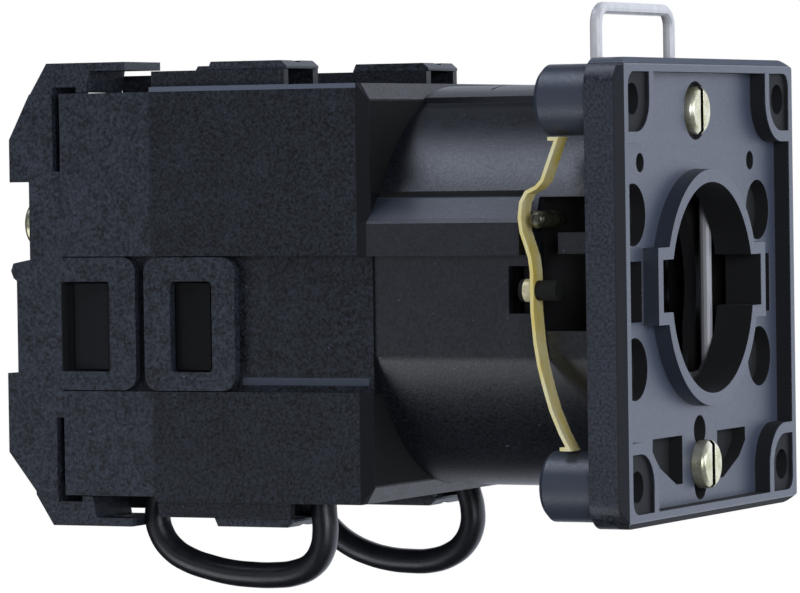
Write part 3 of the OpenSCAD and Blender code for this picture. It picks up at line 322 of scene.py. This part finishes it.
# Mouldings: cloud and grain are sizes in metres, mottle is the cloud's share, and reach is the noise
# range from dark to light. The real eroded grain is near 0.05 mm, and is drawn coarser so that it shows.
# Speck is the colour of pale specks painted in as glints of light on the grain.
mouldings = {
    # glass-filled polyamide: an even satin front, painted lighter as lit, the sides grained from an eroded
    # mould
    "moulded_polyamide_satin": {
        "dark": "#08090b", "light": "#3a404c", "front": "#464d5b", "speck": "#5c636e",
        "cloud": 0.004, "grain": 0.00032, "mottle": 0.15, "reach": 0.16,
        "grainDepth": 0.00003, "rough": 0.42, "gloss": 0.7,
        "zones": {
            # painted shade: the pockets' floors and walls dark, as unlit hollows
            "pockets": {
                "along": (-0.00415, -0.00186), "wide": (0, 0.0221), "high": (0, 0.0228), "shade": "#0b0c0e"},
            # painted shade: the inside of the shaft's opening dark
            "opening": {"along": (-0.00415, -0.00006), "around": (0, 0.01126), "shade": "#0b0c0e"},
            # painted shade: the near and far side bevels darker than the moulding
            "sideBevels": {"along": (-0.0009, 0.001), "wide": (0.02315, 0.03), "shade": "#1d2026"},
            # painted shade: the rim's inner walls dark
            "rimInside": {"along": (-0.00178, -0.00015), "wide": (0.0152, 0.0226), "shade": "#101216"},
            # painted shade: the walls under the rim at top and bottom dark
            "rimUnder": {
                "along": (-0.00178, -0.00015), "wide": (0, 0.0153), "high": (0.02, 0.03),
                "shade": "#15171b"},
            # painted light: the bosses behind the plate lighter, as lit
            "bosses": {"along": (-0.02, -0.00422), "shade": "#3b424e", "keepsGloss": True},
            # painted shade: the notches' end walls dark
            "notches": {
                "along": (-0.00415, -0.00006), "wide": (0.0113, 0.01385), "height": (-0.0026, 0.0036),
                "shade": "#0b0c0e"},
            # painted light: the notch border's outer wall lighter, as lit
            "notchOutside": {
                "along": (-0.0018, -0.00006), "wide": (0.0146, 0.01495), "height": (-0.0036, 0.0046),
                "shade": "#353b46", "keepsGloss": True},
            # painted light: the collar's outer wall lighter, as lit
            "collarOutside": {
                "along": (-0.0018, -0.00006), "around": (0.0124, 0.0127),
                "shade": "#323843", "keepsGloss": True},
            # painted light: the plate's top face lighter, as lit from above
            "topFace": {
                "along": (-0.0043, -0.0001), "height": (0.0237, 0.0245),
                "shade": "#59606d", "keepsGloss": True},
        },
    },
    # the same polyamide from a polished mould, with a clear highlight; its inside is painted black as shade,
    # a painted shadow line runs over the rib and the rib's bevel has a painted highlight
    "moulded_polyamide_polished": {
        "dark": "#0a0b0e", "light": "#252932", "speck": "#4d545f",
        "cloud": 0.004, "grain": 0.00032, "mottle": 0.2, "reach": 0.18,
        "grainDepth": 0.000025, "rough": 0.38, "gloss": 0.7,
        "zones": {
            # painted shade: the housing's windows and inner walls black
            "inside": {
                "along": (-0.0302, 0), "wide": (0, 0.01835), "high": (0, 0.02), "around": (0, 0.0212),
                "shade": "#060708"},
            # painted shadow: a black line along the top of the rib, standing for a shaded groove
            "ribGrooveShadow": {
                "along": (-0.0302, -0.0126), "wide": (0.018, 0.0193), "height": (0.01, 0.0107),
                "shade": "#050607"},
            # painted highlight: the rib's upper bevel lighter
            "ribBevel": {
                "along": (-0.0302, -0.0126), "wide": (0.0191, 0.0215), "height": (0.0075, 0.0101),
                "shade": "#2f3540", "keepsGloss": True},
        },
    },
    # thermoset from an eroded mould, dull and mottled, with pale specks painted in as glints, its front
    # faces painted dark in one tone as shade
    "moulded_thermoset_grained": {
        "dark": "#020303", "light": "#2e333c", "front": "#0d0f12", "speck": "#4d545f",
        "cloud": 0.003, "grain": 0.00032, "mottle": 0.18, "reach": 0.15,
        "grainDepth": 0.00006, "rough": 0.48, "gloss": 0.4,
        "zones": {
            # painted shade: the block's front side bevels dark
            "frontBevels": {"along": (-0.0313, -0.0299), "wide": (0.0207, 0.0225), "shade": "#15171b"},
            # painted highlight: a light strip along the block's top side edge
            "stripUnderTop": {
                "along": (-0.0559, -0.0312), "wide": (0.0212, 0.0226), "height": (0.0217, 0.02225),
                "shade": "#616876", "keepsGloss": True},
            # painted highlight: a light line along the ledge on the block's side
            "ledge": {
                "along": (-0.0458, -0.0308), "wide": (0.0195, 0.0219), "height": (-0.0097, -0.0089),
                "shade": "#434a56", "keepsGloss": True},
            # painted shade: the loop window in the block black
            "loopWindow": {"along": (-0.0538, -0.0488), "height": (-0.0083, 0.0014), "shade": "#050607"},
            # painted shade: the block's front hollow black
            "frontHollow": {
                "along": (-0.034, -0.0295), "wide": (0, 0.0208), "high": (0.0106, 0.0203),
                "shade": "#050607"},
        },
    },
    # the rear deck and cover, of the same thermoset but paler than the block
    "moulded_thermoset_cover": {
        "dark": "#07080a", "light": "#3c424d", "speck": "#5c636e",
        "cloud": 0.003, "grain": 0.00032, "mottle": 0.18, "reach": 0.16,
        "grainDepth": 0.00006, "rough": 0.48, "gloss": 0.5,
        "zones": {
            # painted shade: the rear loop window dark
            "loopWindow": {
                "along": (-0.0673, -0.0614), "wide": (0.018, 0.0225), "height": (-0.0083, 0.0014),
                "shade": "#0d0f12"},
        },
    },
    # acetal, smooth, black and slightly waxy
    "moulded_acetal_black": {
        "dark": "#0a0b0c", "light": "#121316",
        "cloud": 0.003, "grain": 0.0005, "mottle": 0.5, "reach": 0.2,
        "grainDepth": 0.00001, "rough": 0.42, "gloss": 0.4,
    },
    # undyed polyamide, ivory with faint clouds
    "moulded_polyamide_natural": {
        "dark": "#b3aa93", "light": "#cfc7b1",
        "cloud": 0.003, "grain": 0.0006, "mottle": 0.5, "reach": 0.2,
        "grainDepth": 0.00001, "rough": 0.5, "gloss": 0.5,
    },
    # soft PVC drawn over the wire, with a dull sheen
    "extruded_pvc_black": {
        "dark": "#101114", "light": "#202327",
        "cloud": 0.003, "grain": 0.0005, "mottle": 0.5, "reach": 0.2,
        "grainDepth": 0.00001, "rough": 0.36, "gloss": 0.6,
    },
}

# Metals: streak stretches the pattern along the rolled or drawn direction
metals = {
    # cold-rolled strip, passivated yellow, brassy, painted paler than its own yellow to stand for light on
    # it, with pale streaks painted in as highlights
    "stamped_spring_steel_yellow": {
        "dark": "#efd557", "light": "#fff8cc", "cloud": 0.002, "grain": 0.0006,
        "rough": 0.42, "metal": 0.05, "streak": (1, 1, 0.3)},
    # the same yellow on a turned rivet, its driven end dull and in the leaf's shade
    "headed_rivet_steel_yellow": {
        "dark": "#c9bf8b", "light": "#f4eccb", "cloud": 0.001, "grain": 0.0006,
        "rough": 0.4, "metal": 0.2, "streak": (1, 1, 1),
        "zones": {
            "drivenEnd": {"along": (-0.0106, 0), "shade": "#1c1d1a"},
            # painted shade: the rear of the head dark
            "rearEnd": {"along": (-0.02, -0.0119), "shade": "#1a1a17"},
        }},
    # turned and slotted, yellow zinc over bright steel, its slot painted dark as shade
    "turned_steel_yellow_zinc": {
        "dark": "#b3b080", "light": "#f1eed8", "cloud": 0.002, "grain": 0.0006,
        "rough": 0.28, "metal": 0.7, "streak": (1, 1, 1),
        "zones": {
            # painted shade: the slot's walls and floor dark
            "slot": {"along": (-0.0024, -0.00026), "wide": (0, 0.00042), "shade": "#14140f"},
        }},
    # drawn wire, clear zinc, an even silver grey, painted darker as shade where it lies inside the opening
    "drawn_wire_zinc_plated": {
        "dark": "#d3d2d0", "light": "#f3f2f0", "cloud": 0.0015, "grain": 0.0006,
        "rough": 0.34, "metal": 0.25, "streak": (1, 1, 0.3),
        "zones": {
            # painted shade: the bar darker inside the opening
            "shadeInOpening": {
                "along": (-0.03, 0.01), "high": (0, 0.0125), "shade": "#adadae", "keepsGloss": True},
        }},
    # turned pins in the detent, dark steel with a glint from their gloss
    "turned_steel_dark": {
        "dark": "#24241f", "light": "#8a8874", "cloud": 0.0008, "grain": 0.0005,
        "rough": 0.3, "metal": 0.8, "streak": (1, 1, 1)},
    # cold-drawn bar, mid grey with fine lines along it
    "drawn_steel_shaft": {
        "dark": "#6c6d72", "light": "#909197", "cloud": 0.002, "grain": 0.0003,
        "rough": 0.35, "metal": 1, "streak": (0.2, 1, 1)},
    # bright spring wire, even and light
    "coiled_spring_steel": {
        "dark": "#7c7d83", "light": "#b5b6bb", "cloud": 0.002, "grain": 0.0003,
        "rough": 0.3, "metal": 1, "streak": (1, 1, 1)},
    # stamped brass, warm and slightly tarnished in clouds
    "stamped_contact_brass": {
        "dark": "#a67c36", "light": "#d3a85a", "cloud": 0.002, "grain": 0.0003,
        "rough": 0.32, "metal": 1, "streak": (1, 1, 1)},
    # machined brass, paler and cleaner than the stamped
    "machined_terminal_brass": {
        "dark": "#a3853f", "light": "#d8bd74", "cloud": 0.002, "grain": 0.0003,
        "rough": 0.33, "metal": 1, "streak": (1, 1, 1)},
    # bare wire ends, reddish with a satin draw
    "drawn_bare_copper": {
        "dark": "#a4583a", "light": "#d0835c", "cloud": 0.002, "grain": 0.0003,
        "rough": 0.32, "metal": 1, "streak": (1, 1, 0.3)},
}
finishes = {name: mouldedPlastic(name, values) for name, values in mouldings.items()}
finishes.update({name: streakedMetal(name, values) for name, values in metals.items()})
print("materials made")

# Finishes of the CAD nodes

slotFinish = {
    "plate_moulding": "moulded_polyamide_satin",
    "housing_moulding": "moulded_polyamide_polished",
    "block_moulding": "moulded_thermoset_grained",
    "cover_moulding": "moulded_thermoset_cover",
    "inner_moulding": "moulded_polyamide_natural",
    "rotor_moulding": "moulded_acetal_black",
    "leaf_steel": "stamped_spring_steel_yellow",
    "screw_steel": "turned_steel_yellow_zinc",
    "bail_steel": "drawn_wire_zinc_plated",
    "shaft_steel": "drawn_steel_shaft",
    "spring_steel": "coiled_spring_steel",
    "contact_brass": "stamped_contact_brass",
    "clamp_brass": "machined_terminal_brass",
    "copper_wire": "drawn_bare_copper",
    "wire_insulation": "extruded_pvc_black",
}
nodeSlot = {subpart["node"]: subpart["material_slot"] for subpart in frame["record"]["subparts"]}
nodeBody = {
    nodeName: body
    for body, members in frame["record"]["behaviour"]["bodies"].items() for nodeName in members
}

# Nodes that differ from the finish of their slot
nodeFinish = {
    "leaf_pins": "turned_steel_dark",
    "leaf_rivets": "headed_rivet_steel_yellow",
    "rear_deck": "moulded_thermoset_cover",
}


def dress(piece, finish):
    piece.data.materials.clear()
    piece.data.materials.append(finishes[finish])


for nodeName, node in nodes.items():
    dress(node, nodeFinish.get(nodeName, slotFinish[nodeSlot[nodeName]]))
for jumper in jumpers:
    dress(jumper, slotFinish["wire_insulation"])
print("finishes given to", len(nodes), "nodes")

# Moulded, stamped and turned pieces with their small edge radii, in metres

edgeRadius = {
    "front_plate": 0.0002,
    "mechanism_housing": 0.00015,
    "main_block": 0.0005,
    "rear_deck": 0.00025,
    "rear_cover": 0.0003,
    "terminal_covers": 0.0003,
    "plate_screws": 0.00012,
    "tie_screws": 0.00012,
    "leaf_spring_near": 0.00006,
    "leaf_spring_far": 0.00006,
    "leaf_rivets": 0.00012,
    "leaf_pins": 0.0001,
}
mergeDistance = 0.000002
flatAngle = math.radians(0.3)  # neighbours that differ by less are one face
edgeAngle = math.radians(28)  # edges sharper than this are rounded
smoothAngle = math.radians(40)


def useOnly(piece):
    bpy.ops.object.select_all(action="DESELECT")
    piece.select_set(True)
    bpy.context.view_layer.objects.active = piece


# A merged copy of a CAD node's mesh that rides on the node's body and stands for it, without the
# marks that the frame put on the node
def copyNode(nodeName, ending):
    node = nodes[nodeName]
    piece = node.copy()
    piece.data = node.data.copy()
    piece.name = nodeName + ending
    for key in list(piece.keys()):
        del piece[key]
    piece.parent = None
    bpy.context.scene.collection.objects.link(piece)
    useOnly(piece)
    bpy.ops.object.mode_set(mode="EDIT")
    bpy.ops.mesh.select_all(action="SELECT")
    bpy.ops.mesh.remove_doubles(threshold=mergeDistance)
    bpy.ops.mesh.customdata_custom_splitnormals_clear()
    bpy.ops.object.mode_set(mode="OBJECT")
    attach(piece, nodeBody[nodeName])
    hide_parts(nodeName)
    return piece


def roundEdges(nodeName, radius):
    piece = copyNode(nodeName, "_rounded")
    bpy.ops.object.mode_set(mode="EDIT")
    bpy.ops.mesh.dissolve_limited(angle_limit=flatAngle)
    bpy.ops.object.mode_set(mode="OBJECT")
    bevel = piece.modifiers.new("edges", "BEVEL")
    bevel.width = radius
    bevel.segments = 2
    bevel.limit_method = "ANGLE"
    bevel.angle_limit = edgeAngle
    bevel.use_clamp_overlap = True
    bevel.harden_normals = False
    bpy.ops.object.modifier_apply(modifier="edges")
    bpy.ops.object.shade_smooth_by_angle(angle=smoothAngle)
    weighted = piece.modifiers.new("flatFaces", "WEIGHTED_NORMAL")
    weighted.keep_sharp = True
    weighted.weight = 80
    bpy.ops.object.modifier_apply(modifier="flatFaces")
    return piece


rounded = [roundEdges(name, radius) for name, radius in edgeRadius.items()]
print("edges rounded on", len(rounded), "pieces")

# Smooth-shaded copies of the two contact springs that the turning shaft presses together, each against
# its seat in the block

pressedSprings = {
    "spring_rear_top": {"joint": "contact_rear_top_slide", "seat": 0.01895},
    "spring_front_low": {"joint": "contact_front_low_slide", "seat": -0.01895},
}


def pressSpring(nodeName):
    piece = copyNode(nodeName, "_pressed")
    bpy.ops.object.shade_smooth_by_angle(angle=smoothAngle)
    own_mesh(piece)
    return piece


pressed = [pressSpring(name) for name, values in pressedSprings.items()]
print("springs that press together:", len(pressed))

# Lamps and the white surroundings of the cut-out photograph, which has no floor

lampTarget = Vector((-0.03, 0, 0))
lamps = {
    "softBox": {"at": (-0.38, -0.2, 0.69), "size": 0.42, "power": 2.2, "colour": "#e3ebff"},
    "sideFill": {"at": (0.54, -0.59, 0.1), "size": 0.4, "power": 2.5, "colour": "#f4f6ff"},
    "frontLamp": {"at": (0.8, -0.02, 0.16), "size": 0.4, "power": 2.25, "colour": "#e6edff"},
    "lowFill": {"at": (-0.48, -0.5, -0.4), "size": 0.4, "power": 1.4, "colour": "#eef1f8"},
    "leftFill": {"at": (-0.42, -0.8, 0.12), "size": 0.4, "power": 0.3, "colour": "#e6edff"},
}


def placeLamp(name, values):
    data = bpy.data.lights.new(name, "AREA")
    data.shape = "SQUARE"
    data.size = values["size"]
    data.energy = values["power"]
    data.color = linear(values["colour"])[:3]
    lamp = bpy.data.objects.new(name, data)
    lamp.location = values["at"]
    aim = lampTarget - Vector(values["at"])
    lamp.rotation_euler = aim.to_track_quat("-Z", "Y").to_euler()
    bpy.context.scene.collection.objects.link(lamp)


for name, values in lamps.items():
    placeLamp(name, values)

# Gloss sees the surroundings brighten from mirrorDark to mirrorBright towards brightSide
surroundings = {
    "tint": "#eaf1ff",
    "diffuse": 0.22,
    "brightSide": (0.36, 0.92, 0),
    "mirrorDark": 0.03,
    "mirrorBright": 1.4,
    "brightFrom": 0.38,
    "brightTo": 0.75,
}


def makeWorld(values):
    world = bpy.data.worlds.new("white_cyclorama")
    world.use_nodes = True
    tree = world.node_tree
    tree.nodes.clear()
    direction = addNode(tree, "ShaderNodeTexCoord").outputs["Generated"]
    behind = addNode(tree, "ShaderNodeVectorMath", {
        0: direction, 1: values["brightSide"],
    }, operation="DOT_PRODUCT").outputs["Value"]
    strength = addNode(tree, "ShaderNodeMapRange", {
        "Value": behind, "From Min": values["brightFrom"], "From Max": values["brightTo"],
        "To Min": values["mirrorDark"], "To Max": values["mirrorBright"],
    })
    tint = linear(values["tint"])
    plain = addNode(tree, "ShaderNodeBackground", {"Color": tint, "Strength": values["diffuse"]})
    mirrored = addNode(tree, "ShaderNodeBackground", {"Color": tint, "Strength": strength})
    seen = addNode(tree, "ShaderNodeBackground", {"Color": (1, 1, 1, 1), "Strength": 1})
    rays = addNode(tree, "ShaderNodeLightPath").outputs
    glossy = addNode(tree, "ShaderNodeMath", {
        0: rays["Is Glossy Ray"], 1: rays["Is Transmission Ray"],
    }, operation="MAXIMUM")
    lit = addNode(tree, "ShaderNodeMixShader", {0: glossy, 1: plain, 2: mirrored})
    shown = addNode(tree, "ShaderNodeMixShader", {0: rays["Is Camera Ray"], 1: lit, 2: seen})
    addNode(tree, "ShaderNodeOutputWorld", {"Surface": shown})
    bpy.context.scene.world = world


makeWorld(surroundings)
bpy.context.scene.view_settings.view_transform = "Standard"
print("lamps and surroundings placed")
